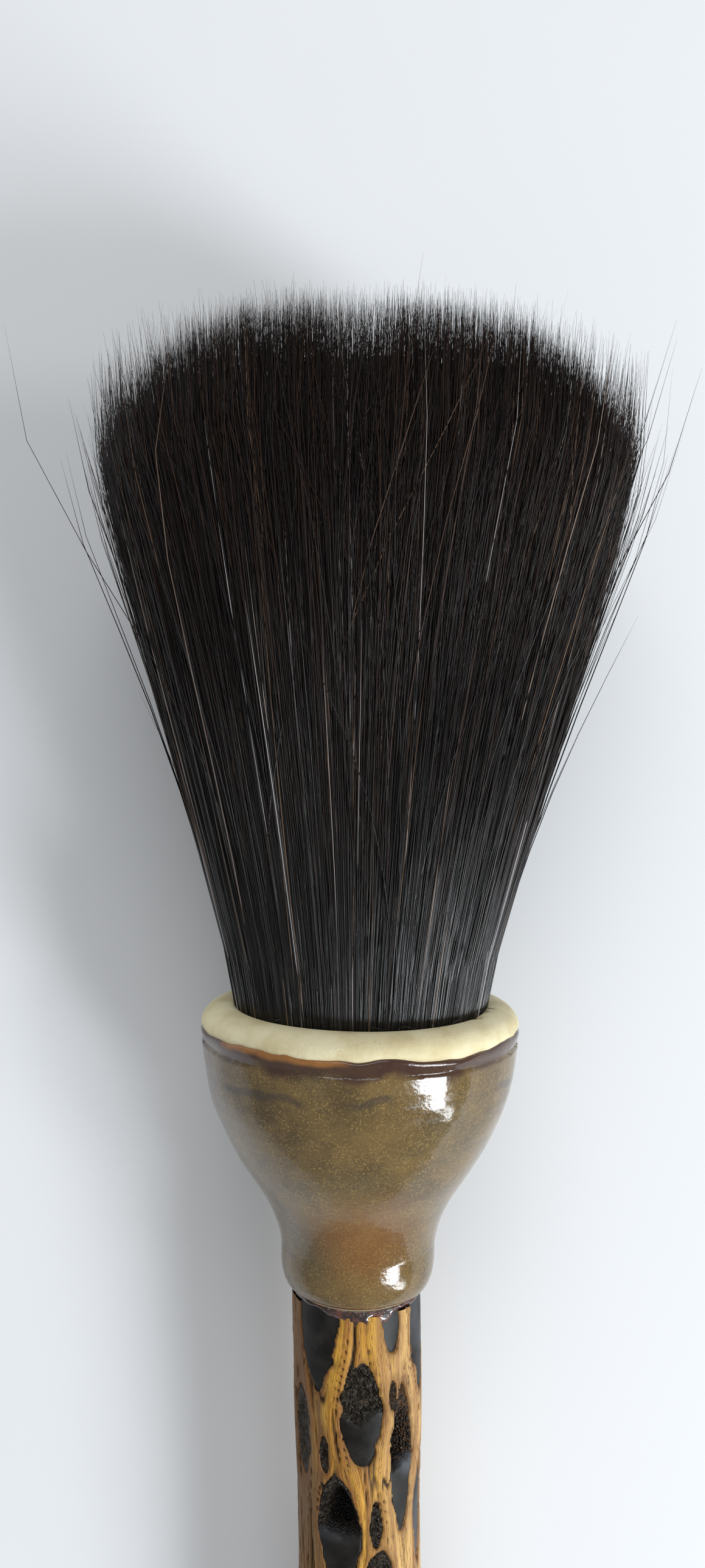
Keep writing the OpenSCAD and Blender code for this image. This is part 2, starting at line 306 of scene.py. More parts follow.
class Look:
    """A material with one Principled shader and the nodes that feed it."""

    def __init__(self, name, **plain):
        self.material = bpy.data.materials.new(name)
        self.material.use_nodes = True
        self.tree = self.material.node_tree
        self.shader = next(n for n in self.tree.nodes if n.type == "BSDF_PRINCIPLED")
        for key, value in plain.items():
            self.feed(key.replace("_", " "), value)

    def node(self, kind, settings=None, values=None):
        made = self.tree.nodes.new(kind)
        for key, value in (settings or {}).items():
            if key == "stops":
                ramp = made.color_ramp
                while len(ramp.elements) < len(value):
                    ramp.elements.new(1)
                for element, (place, colour) in zip(ramp.elements, value):
                    element.position = place
                    element.color = (*colour, 1)
            else:
                setattr(made, key, value)
        for key, value in (values or {}).items():
            self.join(made.inputs[key], value)
        return made

    def join(self, socket, value):
        source = value.socket if isinstance(value, Wire) else value
        if isinstance(source, bpy.types.NodeSocket):
            self.tree.links.new(source, socket)
        elif socket.type == "RGBA" and len(source) == 3:
            socket.default_value = (*source, 1)
        else:
            socket.default_value = source

    def feed(self, key, value):
        self.join(self.shader.inputs[key], value)

    def place(self):
        return self.node("ShaderNodeTexCoord").outputs["Object"]

    def field(self, name, part="Fac"):
        made = self.node("ShaderNodeAttribute", {"attribute_name": name})
        return Wire(self, made.outputs[part]) if part == "Fac" else made.outputs[part]

    def noise(self, scale, detail=2.0, spot=None, rough=0.5, distort=0.0):
        made = self.node("ShaderNodeTexNoise", None, {
            "Vector": spot or self.place(), "Scale": scale, "Detail": detail,
            "Roughness": rough, "Distortion": distort})
        return Wire(self, made.outputs["Fac"])

    def grains(self, scale):
        made = self.node("ShaderNodeTexVoronoi", None, {"Vector": self.place(), "Scale": scale})
        return Wire(self, made.outputs["Distance"])

    def far_from(self, point):
        made = self.node("ShaderNodeVectorMath", {"operation": "DISTANCE"},
                         {0: self.place(), 1: tuple(point)})
        return Wire(self, made.outputs["Value"])

    def mix(self, factor, first, second):
        """The first colour where factor is 0 and the second where it is 1."""
        made = self.node("ShaderNodeMix", {"data_type": "RGBA"}, {"Factor": factor, 6: first, 7: second})
        return made.outputs[2]

    def bump(self, height, distance, strength=1.0, over=None):
        values = {"Height": height, "Distance": distance, "Strength": strength}
        if over is not None:
            values["Normal"] = over
        return self.node("ShaderNodeBump", None, values).outputs["Normal"]


def clay_look():
    """Bare cream stoneware, faintly tooled, with iron specks and painted shade inside the mouth."""
    look = Look("bare_clay", Specular_IOR_Level=0.35)
    cloud = look.noise(160, 4)
    grain = look.noise(1800, 3)
    speck = look.grains(1500).within(0.16, 0.08) * look.noise(500).within(0.55, 0.65)
    base = look.mix(cloud.within(0.3, 0.7), (0.68, 0.58, 0.33), (0.84, 0.76, 0.50))
    base = look.mix(look.field("chip"), base, (0.62, 0.47, 0.26))
    # Painted shade: the clay darkens going down inside the mouth
    base = look.mix(look.field("shade") * 0.75, base, (0.16, 0.10, 0.05))
    base = look.mix(speck * 0.8, base, (0.12, 0.07, 0.03))
    look.feed("Base Color", base)
    look.feed("Roughness", 0.5 + cloud * 0.2)
    look.feed("Normal", look.bump(grain, 0.12 * MM, 0.5, look.bump(look.noise(420, 2), 0.4 * MM, 0.35)))
    return look.material


def glaze_look():
    """Glossy olive-brown glaze: golden specks, dark clouds, a dark band at its edge, rust and painted shade on the
    cup's left side.

    The edge and foot fields are the distances to the glaze's upper and lower edges.
    """
    look = Look("olive_glaze", Coat_Weight=0.25, Coat_Roughness=0.04, IOR=1.46)
    edge = look.field("edge")
    cloud = look.noise(130, 5, rough=0.6, distort=0.4)
    wide = look.noise(60, 3)
    fine = look.noise(2600, 2)
    base = look.mix(cloud.within(0.32, 0.66), (0.090, 0.058, 0.022), (0.165, 0.105, 0.036))
    base = look.mix(wide.within(0.5, 0.7) * 0.35, base, (0.095, 0.092, 0.058))
    gold = look.grains(2300).within(0.36, 0.16) * look.noise(420, 3).within(0.36, 0.58)
    base = look.mix(gold * 0.62, base, (0.44, 0.29, 0.085))
    base = look.mix(fine.within(0.52, 0.64) * 0.32, base, (0.30, 0.20, 0.075))
    dark = look.grains(1300).within(0.24, 0.1) * look.noise(300).within(0.5, 0.62)
    base = look.mix(dark * 0.6, base, (0.030, 0.020, 0.013))
    patch = look.far_from(placed(1 * MM, -0.73 * CUP_LENGTH, 18 * MM))
    rust = (patch + (cloud - 0.5) * 12 * MM).within(14.5 * MM, 2 * MM) * (0.55 + fine * 0.6)
    base = look.mix(rust * 0.62, base, (0.27, 0.105, 0.024))
    ring_at = edge + (look.noise(70, 3) - 0.5) * 6 * MM
    ring = (ring_at - 7.2 * MM).maths("ABSOLUTE").within(1.1 * MM, 0.2 * MM)
    base = look.mix(ring * look.noise(150).within(0.45, 0.6) * 0.6, base, (0.042, 0.034, 0.030))
    band = (edge + (look.noise(120, 4) - 0.5) * 6.2 * MM).within(3.6 * MM, 1.8 * MM)
    base = look.mix(band * (0.5 + cloud * 0.8), base, (0.056, 0.024, 0.015))
    side = look.far_from(placed(-13 * MM, -0.08 * CUP_LENGTH, 23 * MM))
    streak = (side + (look.noise(200, 3) - 0.5) * 6 * MM).within(13 * MM, 9 * MM)
    streak = streak * (edge + (look.noise(330) - 0.5) * MM).within(1.6 * MM, 0.6 * MM)
    base = look.mix(streak * 0.85, base, (0.36, 0.150, 0.036))
    # Painted shade: darker glaze on the cup's left side, away from the lights
    left_side_shade = look.far_from(placed(-27 * MM, -0.2 * CUP_LENGTH, 4 * MM))
    base = look.mix(left_side_shade.within(14 * MM, 4 * MM) * 0.6, base, (0.060, 0.030, 0.018))
    base = look.mix(edge.within(0.5 * MM, 0.0) * 0.7, base, (0.20, 0.11, 0.05))
    base = look.mix(look.field("foot").within(0.8 * MM, 0.3 * MM), base, (0.13, 0.035, 0.018))
    look.feed("Base Color", base)
    look.feed("Roughness", 0.12 + look.noise(900).within(0.4, 0.8) * 0.14)
    peel = look.bump(look.noise(520, 2), 0.3 * MM, 0.18)
    look.feed("Normal", look.bump(look.noise(1700, 2), 0.08 * MM, 0.3, peel))
    return look.material


def glue_look():
    """Dark glossy glue with pale grains painted in as glints."""
    look = Look("red_brown_glue", Coat_Weight=0.8, Coat_Roughness=0.08)
    grain = look.grains(2600)
    base = look.mix(look.noise(600, 3).within(0.4, 0.65), (0.020, 0.009, 0.006), (0.13, 0.036, 0.018))
    # Pale grains painted in as glints on the glue
    base = look.mix(grain.within(0.16, 0.06) * 0.8, base, (0.45, 0.36, 0.26))
    look.feed("Base Color", base)
    look.feed("Roughness", 0.18 + grain * 0.3)
    look.feed("Normal", look.bump(look.noise(1500, 3), 0.3 * MM, 0.8))
    return look.material


def wood_look():
    """Dry cactus wood: ochre fibres that flow round the openings, with dark cracks, a painted sheen on its right
    side and painted shade on its left side and at the openings.
    """
    look = Look("ochre_wood", Specular_IOR_Level=0.3)
    flow = look.field("flow", "Vector")
    streak = look.noise(1.3, 5, flow, rough=0.62)
    fibre = look.noise(5.5, 3, flow, rough=0.6)
    wide = look.noise(0.35, 2, flow)
    base = look.mix(streak.within(0.3, 0.7), (0.44, 0.190, 0.020), (0.76, 0.420, 0.050))
    spot = look.node("ShaderNodeSeparateXYZ", None, {0: look.place()})
    across = Wire(look, spot.outputs["X"])
    # Painted sheen: paler cream on the wood's right side, towards the lights
    right_sheen = (across + (wide - 0.5) * 12 * MM).within(1 * MM, 9 * MM)
    base = look.mix(right_sheen * 0.75, base, (0.72, 0.47, 0.20))
    # Painted shade: darker brown-grey on the wood's left side, away from the lights
    left_shade = (across + (wide - 0.5) * 10 * MM).within(-3.5 * MM, -8.8 * MM)
    base = look.mix(left_shade * 0.85, base, (0.135, 0.080, 0.045))
    base = look.mix(fibre.within(0.54, 0.70) * 0.6, base, (0.22, 0.085, 0.018))
    base = look.mix(wide.within(0.50, 0.62) * 0.55, base, (0.30, 0.115, 0.028))
    base = look.mix(look.field("stain") * 0.8, base, (0.17, 0.066, 0.020))
    crack = look.field("crack")
    hair_crack = (look.noise(3.2, 2, flow) - 0.5).maths("ABSOLUTE").within(0.028, 0.007)
    cracked = hair_crack * look.noise(1.1, 1, flow).within(0.34, 0.50) * 0.9
    base = look.mix(cracked, base, (0.075, 0.028, 0.008))
    base = look.mix(crack, base, (0.030, 0.014, 0.006))
    # Painted shade along the openings' rims and in the pockets under the inlays
    base = look.mix(look.field("shade"), base, (0.17, 0.075, 0.02))
    look.feed("Base Color", base)
    look.feed("Roughness", 0.44 + fibre * 0.25)
    ridges = look.bump(fibre, 0.22 * MM, 0.6, look.bump(streak, 0.6 * MM, 0.45))
    look.feed("Normal", look.bump(hair_crack, 0.3 * MM, -0.6, ridges))
    return look.material


def stone_look():
    """Ground charcoal stone set in resin: satin where flush and granular where not, with pale flecks painted in as
    glints, most where it is granular, and painted shade in its deep hollows.
    """
    look = Look("charcoal_inlay", Specular_IOR_Level=0.16)
    raw = look.field("raw")
    cloud = look.noise(300, 3)
    grit = look.grains(2300)
    base = look.mix(cloud.within(0.3, 0.7), (0.008, 0.007, 0.006), (0.022, 0.020, 0.018))
    loose = look.mix(look.noise(1500, 3).within(0.4, 0.66), (0.008, 0.006, 0.004), (0.052, 0.040, 0.028))
    base = look.mix(raw, base, loose)
    # Pale flecks painted in as glints, more where the stone is granular
    painted_glint = look.grains(3600).within(0.2, 0.06) * look.noise(900).within(0.5, 0.62)
    base = look.mix(painted_glint * (0.2 + raw * 0.5), base, (0.55, 0.52, 0.46))
    base = look.mix(look.field("pale") * 0.7, base, (0.12, 0.13, 0.15))
    base = look.mix(look.field("fibre") * look.noise(1200, 3).within(0.4, 0.6), base, (0.085, 0.042, 0.018))
    # Painted shade: the deepest hollows are darkened nearly to black
    base = look.mix(look.field("deep"), base, (0.003, 0.002, 0.002))
    look.feed("Base Color", base)
    look.feed("Roughness", 0.42 - raw * 0.16 + cloud * 0.08)
    fine = look.bump(look.noise(900, 2), 0.06 * MM, 0.4)
    look.feed("Normal", look.bump(grit * raw, 0.6 * MM, 0.9, fine))
    return look.material


def hair_look():
    """Dark horsehair: the shade of each hair and the way to its tip set its colour; the browner tips are partly
    the hair's own tone and partly painted light shining through them.
    """
    look = Look("dark_hair", Roughness=0.24, Specular_IOR_Level=0.5)
    spot = look.node("ShaderNodeUVMap", {"uv_map": "OFBake"})
    parts = look.node("ShaderNodeSeparateXYZ", None, {0: spot.outputs["UV"]})
    shade = parts.outputs["X"]
    tip = Wire(look, parts.outputs["Y"])
    root_tone = look.node("ShaderNodeValToRGB", {"stops": [
        (0.0, (0.002, 0.002, 0.002)), (0.5, (0.005, 0.004, 0.003)), (0.8, (0.016, 0.010, 0.007)),
        (0.9, (0.055, 0.040, 0.034)), (0.96, (0.22, 0.13, 0.07)), (1.0, (0.36, 0.35, 0.36))]},
        {"Fac": shade})
    # Tones for the tips: browner, partly the hair's own colour and partly painted light shining through the thin
    # hair
    tip_tone_and_backlight = look.node("ShaderNodeValToRGB", {"stops": [
        (0.0, (0.003, 0.002, 0.002)), (0.5, (0.015, 0.008, 0.006)), (0.8, (0.055, 0.026, 0.015)),
        (0.9, (0.11, 0.060, 0.038)), (0.96, (0.30, 0.18, 0.10)), (1.0, (0.42, 0.40, 0.39))]},
        {"Fac": shade})
    look.feed("Base Color", look.mix(tip.within(0.3, 1.0), root_tone.outputs[0], tip_tone_and_backlight.outputs[0]))
    return look.material


def mass_look():
    """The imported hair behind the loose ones."""
    look = Look("packed_hair", Roughness=0.7, Specular_IOR_Level=0.25)
    grain = look.noise(1.0, 3, look.field("flow", "Vector"))
    base = look.mix(grain.within(0.35, 0.65), (0.003, 0.002, 0.002), (0.012, 0.008, 0.006))
    look.feed("Base Color", base)
    look.feed("Normal", look.bump(grain, 0.8 * MM, 0.9))
    return look.material


def resin_look():
    """Amber resin that holds the hair's root."""
    look = Look("amber_resin", Coat_Weight=0.5, Coat_Roughness=0.1)
    cloud = look.noise(260, 3)
    look.feed("Base Color", look.mix(cloud.within(0.3, 0.7), (0.10, 0.035, 0.012), (0.26, 0.11, 0.035)))
    look.feed("Roughness", 0.2 + cloud * 0.2)
    look.feed("Normal", look.bump(look.noise(700, 2), 0.2 * MM, 0.5))
    return look.material


def thread_look():
    """Twisted red binding thread."""
    look = Look("red_thread")
    twist = look.noise(1500, 3, distort=1.5)
    look.feed("Base Color", look.mix(twist.within(0.35, 0.65), (0.16, 0.012, 0.010), (0.38, 0.035, 0.025)))
    look.feed("Roughness", 0.6 + twist * 0.2)
    look.feed("Normal", look.bump(twist, 0.3 * MM, 0.8))
    return look.material


def dowel_look():
    """Pale straight-grained dowel."""
    look = Look("pale_wood", Specular_IOR_Level=0.3)
    stretched = look.node("ShaderNodeMapping", None, {0: look.place(), "Scale": (1200, 60, 1200)})
    grain = look.noise(1.0, 4, stretched.outputs[0])
    look.feed("Base Color", look.mix(grain.within(0.35, 0.65), (0.42, 0.24, 0.09), (0.62, 0.42, 0.20)))
    look.feed("Roughness", 0.5 + grain * 0.2)
    look.feed("Normal", look.bump(grain, 0.3 * MM, 0.4))
    return look.material


def cap_look():
    """Charcoal resin cap, turned and polished, with mineral flakes."""
    look = Look("charcoal_resin", Coat_Weight=0.25, Coat_Roughness=0.15)
    cloud = look.noise(220, 4)
    flake = look.grains(1500).within(0.18, 0.08) * look.noise(400).within(0.5, 0.62)
    base = look.mix(cloud.within(0.3, 0.7), (0.014, 0.013, 0.013), (0.040, 0.037, 0.035))
    look.feed("Base Color", look.mix(flake * 0.7, base, (0.22, 0.20, 0.17)))
    look.feed("Roughness", 0.3 + cloud * 0.15)
    look.feed("Normal", look.bump(look.noise(800, 2), 0.1 * MM, 0.4))
    return look.material


def table_look():
    """Pale matt table top."""
    look = Look("pale_table", Specular_IOR_Level=0.2)
    cloud = look.noise(9, 3)
    look.feed("Base Color", look.mix(cloud, (0.80, 0.815, 0.83), (0.84, 0.85, 0.86)))
    look.feed("Roughness", 0.7 + cloud * 0.1)
    return look.material


def finish_piece(piece, look, body, slot, *nodes):
    """Gives a new piece its material and body, and hides the CAD nodes that it stands for; slot is not used."""
    piece.data.materials.append(look)
    if nodes:
        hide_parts(*nodes)
    if body:
        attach(piece, body)


# ---- Settings ----


class BrushCupSettings(bpy.types.PropertyGroup):
    clay_step: bpy.props.FloatProperty(
        name="Clay Below Glaze", description="How far the clay lies under the glaze",
        default=0.35 * MM, min=0.0, max=1.0 * MM, subtype="DISTANCE", unit="LENGTH", precision=5)
    unevenness: bpy.props.FloatProperty(
        name="Unevenness", description="Depth of the hand-made waves in the cup's wall",
        default=0.16 * MM, min=0.0, max=1.0 * MM, subtype="DISTANCE", unit="LENGTH", precision=5)
    around: bpy.props.IntProperty(
        name="Points Around", description="Points of the cup's mesh round its axis",
        default=288, min=64, max=512)


class BrushHandleSettings(bpy.types.PropertyGroup):
    bow: bpy.props.FloatProperty(
        name="Bow", description="Sideways bow of the natural wood",
        default=1.4 * MM, min=0.0, max=2.0 * MM, subtype="DISTANCE", unit="LENGTH", precision=5)
    rib_round: bpy.props.FloatProperty(
        name="Rib Rounding", description="Drop of the wood at the edge of an opening",
        default=0.16 * MM, min=0.0, max=1.0 * MM, subtype="DISTANCE", unit="LENGTH", precision=5)
    around: bpy.props.IntProperty(
        name="Points Around", description="Points of the wood's mesh round its axis",
        default=264, min=64, max=512)


class BrushHairSettings(bpy.types.PropertyGroup):
    bundles: bpy.props.IntProperty(
        name="Bundles", description="Hair pieces that share the hairs out",
        default=9, min=1, max=16)
    hairs: bpy.props.IntProperty(
        name="Hairs in a Bundle", description="Hairs in each piece",
        default=4700, min=100, max=4700)
    thickness: bpy.props.FloatProperty(
        name="Thickness", description="Mean radius of a hair at its root",
        default=0.115 * MM, min=0.02 * MM, max=0.3 * MM, subtype="DISTANCE", unit="LENGTH", precision=5)
    belly: bpy.props.FloatProperty(
        name="Belly", description="Drop of the hair below the axis before the table flattens it",
        default=36.5 * MM, min=0.02, max=0.045, subtype="DISTANCE", unit="LENGTH", precision=5)
    seed: bpy.props.IntProperty(name="Seed", description="Start of the random draws", default=11)


class BrushStageSettings(bpy.types.PropertyGroup):
    lens: bpy.props.FloatProperty(
        name="Lens", description="Focal length of the camera", default=27.04, min=10.0, max=120.0,
        subtype="DISTANCE_CAMERA", unit="CAMERA")
    tilt: bpy.props.FloatProperty(
        name="Tilt", description="Camera's tilt from straight down", default=math.radians(2.63),
        subtype="ANGLE", unit="ROTATION")
    roll: bpy.props.FloatProperty(
        name="Roll", description="Camera's turn about its own line of sight",
        default=math.radians(0.75), subtype="ANGLE", unit="ROTATION")
    sky_colour: bpy.props.FloatVectorProperty(
        name="Sky Colour", description="Colour of the soft light all round",
        default=(0.95, 0.975, 1.0), min=0.0, max=1.0, subtype="COLOR")


# ---- Cup ----


def cup_profile():
    """Outside of the cup from inside the mouth, over the lip and down to the foot: radius, along."""
    x, s, v = measured(node_points("ceramic_cup"))
    radius = np.hypot(x, v)
    glaze_x, glaze_s, glaze_v = measured(node_points("glaze_coat"))
    glaze_radius = np.hypot(glaze_x, glaze_v)
    top = s > glaze_s.max() - 0.1 * MM
    foot = (s < glaze_s.min() + 0.1 * MM) & (radius > 7 * MM)
    rows = np.round(np.column_stack([radius[top], s[top]]), 6)
    rows = np.unique(rows[rows[:, 0] > MOUTH - 0.1 * MM], axis=0)
    hub = np.array([CUP_RADIUS - 3.5 * MM, glaze_s.max() - 1 * MM])
    turn = np.arctan2(rows[:, 1] - hub[1], rows[:, 0] - hub[0])
    lip = rows[np.argsort(-turn)]
    lip = lip[lip[:, 1] > glaze_s.max() - 0.05 * MM]
    wall = {}
    for r, along in zip(np.concatenate([glaze_radius, radius[foot]]), np.concatenate([glaze_s, s[foot]])):
        key = round(along, 5)
        wall[key] = max(wall.get(key, 0), r)
    body = np.array([[wall[k], k] for k in sorted(wall, reverse=True)])
    inside = np.array([[lip[0, 0], -9 * MM]])
    return np.vstack([inside, lip, body])


def resampled(line, count):
    """The same line with its points spaced evenly."""
    step = np.hypot(*np.diff(line, axis=0).T)
    keep = np.concatenate([[True], step > 1e-7])
    line = line[keep]
    gone = np.concatenate([[0], np.cumsum(np.hypot(*np.diff(line, axis=0).T))])
    at = np.linspace(0, gone[-1], count)
    return np.column_stack([np.interp(at, gone, line[:, 0]), np.interp(at, gone, line[:, 1])])


def glaze_line(angle):
    """How far below the lip the glaze starts, round the cup."""
    ring = round_ring(angle)
    line = 3.3 * MM + 0.5 * MM * rough(ring, 0.5, 3) + 0.35 * MM * rough(ring, 0.12, 4)
    line -= 0.6 * MM * np.exp(-((angle - 0.15) / 0.16) ** 2)
    line -= 0.3 * MM * eased(angle, 0.75, 1.2) * (1 - eased(angle, 2.0, 2.6))
    line -= 0.3 * MM * (1 - eased(np.abs(angle + 1.2), 0.35, 0.6))
    return line


def cup_unevenness(points, depth):
    """Hand-made waves and faint throwing rings of the wall, about -1 to 1."""
    return rough(points, 15 * MM, 5) + 0.5 * rough(points, 5 * MM, 6) + 0.25 * np.sin(depth / (1.9 * MM))


def clay_cup(settings, line):
    """The bare clay body: it lies just under the glaze, and shows at the lip with one small chip."""
    around = settings.around
    angle = np.linspace(-math.pi, math.pi, around, endpoint=False)
    turn, radius = np.meshgrid(angle, line[:, 0])
    along = np.broadcast_to(line[:, 1][:, None], turn.shape)
    depth = -along
    spots = lathe_points(radius, along, turn)
    outside = eased(radius, MOUTH + 0.2 * MM, MOUTH + 2.5 * MM)
    wave = settings.unevenness * cup_unevenness(spots, depth) * outside
    tooled = 0.05 * MM * rough(spots, 0.9 * MM, 9) * outside
    start = glaze_line(turn)
    is_outer = np.arange(len(line))[:, None] > np.argmax(line[:, 1])
    under = eased(depth, start - 0.2 * MM, start + 0.5 * MM) * is_outer
    chip_at = lathe_points(np.array(MOUTH + 1.2 * MM), np.array(-0.4 * MM), np.array(1.02))
    away = np.linalg.norm(spots - chip_at, axis=-1)
    chip = 1 - eased(away + 0.5 * MM * rough(spots, 0.7 * MM, 8), 0.7 * MM, 1.6 * MM)
    body = radius + wave + tooled - settings.clay_step * under
    points = lathe_points(body, along - 0.45 * MM * chip, turn)
    # Painted shade: darker the further the clay goes down inside the mouth
    inner = 1 - eased(radius, MOUTH + 0.1 * MM, MOUTH + 0.9 * MM)
    shade = inner * eased(depth, 0.6 * MM, 3 * MM)
    return new_piece("clay_cup", points.reshape(-1, 3), grid_faces(len(line), around), fields={
        "chip": chip.ravel(), "shade": shade.ravel()})


def glaze_shell(settings, line):
    """The glaze from its uneven upper edge, which is a soft bead, down to the foot."""
    around = settings.around
    rows = 170
    angle = np.linspace(-math.pi, math.pi, around, endpoint=False)
    wall = line[np.argmax(line[:, 0]) - 24:]
    start = glaze_line(angle)
    end = CUP_LENGTH - 1.3 * MM + 0.25 * MM * rough(round_ring(angle), 0.3, 12)
    share = np.linspace(0, 1, rows)[:, None] ** 1.15
    depth = start[None, :] + (end - start)[None, :] * share
    radius = np.interp(depth, -wall[:, 1], wall[:, 0])
    turn = np.broadcast_to(angle[None, :], depth.shape)
    spots = lathe_points(radius, -depth, turn)
    wave = settings.unevenness * cup_unevenness(spots, depth)
    from_top = depth - start[None, :]
    to_end = end[None, :] - depth
    bead = 0.10 * MM * np.exp(-((from_top - 0.8 * MM) / (0.7 * MM)) ** 2)
    drip = 0.10 * MM * rough(spots, 7 * MM, 14)
    thick = np.minimum(eased(from_top, 0, 0.6 * MM), eased(to_end, 0, 0.5 * MM))
    body = radius + wave - (settings.clay_step + 0.08 * MM) * (1 - thick) + (bead + drip) * thick
    points = lathe_points(body, -depth, turn)
    return new_piece("glaze_shell", points.reshape(-1, 3), grid_faces(rows, around), fields={
        "edge": from_top.ravel(), "foot": to_end.ravel()})


def foot_glue():
    """A lumpy ring of glue between foot and wood, widest at the front."""
    rows, around = 26, 220
    angle = np.linspace(-math.pi, math.pi, around, endpoint=False)
    turn, share = np.meshgrid(angle, np.linspace(0, 1, rows))
    wood = np.interp(CUP_LENGTH, HANDLE_DEPTHS, HANDLE_RADII)
    swell = np.sin(math.pi * share) ** 0.7
    radius = wood - 0.6 * MM + (0.8 - 0.45 * share) * MM * swell
    front = np.exp(-((turn - 0.12) / 0.42) ** 2)
    depth = CUP_LENGTH - 1.3 * MM + (1.2 + 2.7 * front) * MM * share
    spots = lathe_points(radius, -depth, turn)
    lumps = 0.22 * MM * rough(spots, 1.3 * MM, 21) + 0.12 * MM * rough(spots, 0.5 * MM, 22)
    ragged = 0.45 * MM * rough(spots * [1, 0, 1], 2.2 * MM, 23) * share
    points = lathe_points(radius + lumps * swell, -depth - ragged, turn)
    return new_piece("foot_glue", points.reshape(-1, 3), grid_faces(rows, around))


class OBJECT_OT_brush_cup(bpy.types.Operator):
    """Build the clay cup, its glaze and the glue at its foot"""

    bl_idname = "object.brush_cup"
    bl_label = "Cup"

    def execute(self, context):
        settings = context.scene.brush_cup
        line = resampled(cup_profile(), 190)
        finish_piece(clay_cup(settings, line), clay_look(), "brush", "bare_clay", "ceramic_cup")
        finish_piece(glaze_shell(settings, line), glaze_look(), "brush", "olive_glaze", "glaze_coat")
        finish_piece(foot_glue(), glue_look(), "brush", "red_brown_glue", "neck_adhesive")
        return {"FINISHED"}


# ---- Handle ----


def bow_at(depth, bow):
    """Sideways shift of the wood at a depth below the lip."""
    share = np.clip((depth - CUP_LENGTH) / (HANDLE_END - CUP_LENGTH), 0, 1)
    return bow * np.sin(math.pi * share) ** 1.2


def wood_radius(depth):
    """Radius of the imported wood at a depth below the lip."""
    return np.interp(depth, HANDLE_DEPTHS, HANDLE_RADII)


def half_width(y, length, width):
    """Half the width of a blunt pointed oval, at a distance y from its middle."""
    return width / 2 * np.clip(1 - np.abs(2 * y / length) ** BLUNTNESS, 0, 1) ** (1 / BLUNTNESS)


def inside_oval(x, y, length, width):
    """About the distance to a blunt pointed oval's edge, negative inside; y runs along it."""
    reach = np.abs(2 * x / width) ** BLUNTNESS + np.abs(2 * y / length) ** BLUNTNESS
    return (reach ** (1 / BLUNTNESS) - 1) * width / 2


def around_window(turn, depth, window, mean):
    """Distances across and along from a window's middle on the wood, then its length and width."""
    _, at, angle, length, width = window
    return angle_between(turn, angle) * mean, depth - at, length, width


def wood_patch(name, first, last, rows, settings):
    """A stretch of the wood's surface as one mesh, with its flow, cracks and painted shade."""
    around = settings.around
    angle = np.linspace(-math.pi, math.pi, around, endpoint=False)
    turn, depth = np.meshgrid(angle, np.linspace(first, last, rows))
    mean = HANDLE_MEAN
    radius = wood_radius(depth)
    nearest = np.full(turn.shape, 1.0)
    shift = np.zeros(turn.shape)
    spots = lathe_points(np.full(turn.shape, mean), -depth, turn)
    wobble = 0.50 * MM * rough(spots, 2.6 * MM, 61) + 0.22 * MM * rough(spots, 0.9 * MM, 62)
    for window in WINDOWS:
        x, y, length, width = around_window(turn, depth, window, mean)
        near = (np.abs(y) < length) & (np.abs(x) < 2.5 * width)
        gap = np.full(turn.shape, 1.0)
        gap[near] = inside_oval(x[near], y[near], length, width) + wobble[near] * min(1, width / (6 * MM))
        nearest = np.minimum(nearest, gap)
        fade = np.exp(-(y / (0.5 * length)) ** 2)
        push = 0.48 * width * fade * np.exp(-np.abs(x) / (0.75 * width))
        shift -= push * np.tanh(x / (0.25 * width))
    flow_turn = turn + shift / mean
    flow = np.stack([mean * np.sin(flow_turn), mean * np.cos(flow_turn), depth * 0.055], axis=-1) / MM
    long_crack = np.abs(rough(flow * [1, 1, 1.2], 0.95, 31))
    crack = (1 - eased(long_crack, 0.03, 0.13)) * eased(rough(flow * [1, 1, 2.6], 2.0, 32), -0.1, 0.2)
    stain = (1 - eased(nearest, 0.1 * MM, 1.5 * MM)) * (0.55 + 0.45 * rough(flow * [1, 1, 0.6], 1.3, 36))
    edge_line = 1 - eased(nearest, 0.02 * MM, 0.42 * MM)
    rib = rough(flow, 1.1, 33) * 0.14 * MM + rough(flow, 0.5, 34) * 0.07 * MM
    swell = rough(flow * [1, 1, 3], 5.0, 35) * 0.18 * MM
    drop = settings.rib_round * (1 - eased(nearest, 0, 1.2 * MM)) ** 2
    pocket = 4.2 * MM * eased(-nearest, 0.0, 0.4 * MM)
    body = radius + rib + swell - drop - pocket - 0.45 * MM * crack
    x = body * np.sin(turn) + bow_at(depth, settings.bow)
    points = placed(x, -depth, body * np.cos(turn))
    # Painted shade along the openings' rims and in the pockets under the inlays
    shade = np.maximum(0.55 * edge_line, eased(-nearest, 0.05 * MM, 0.3 * MM))
    return new_piece(name, points.reshape(-1, 3), grid_faces(rows, around), fields={
        "flow": flow.reshape(-1, 3), "crack": np.clip(crack, 0, 1).ravel(),
        "shade": shade.ravel(), "stain": np.clip(stain, 0, 1).ravel()})


class OBJECT_OT_brush_handle(bpy.types.Operator):
    """Build the pierced cactus wood of the handle in two stretches"""

    bl_idname = "object.brush_handle"
    bl_label = "Handle"

    def execute(self, context):
        settings = context.scene.brush_handle
        look = wood_look()
        middle = CUP_LENGTH + 0.4 * (HANDLE_END - CUP_LENGTH)
        upper = wood_patch("wood_upper", CUP_LENGTH, middle, 360, settings)
        finish_piece(upper, look, "brush", "ochre_wood", "cholla_handle")
        lower = wood_patch("wood_lower", middle, HANDLE_END, 370, settings)
        finish_piece(lower, look, "brush", "ochre_wood")
        return {"FINISHED"}


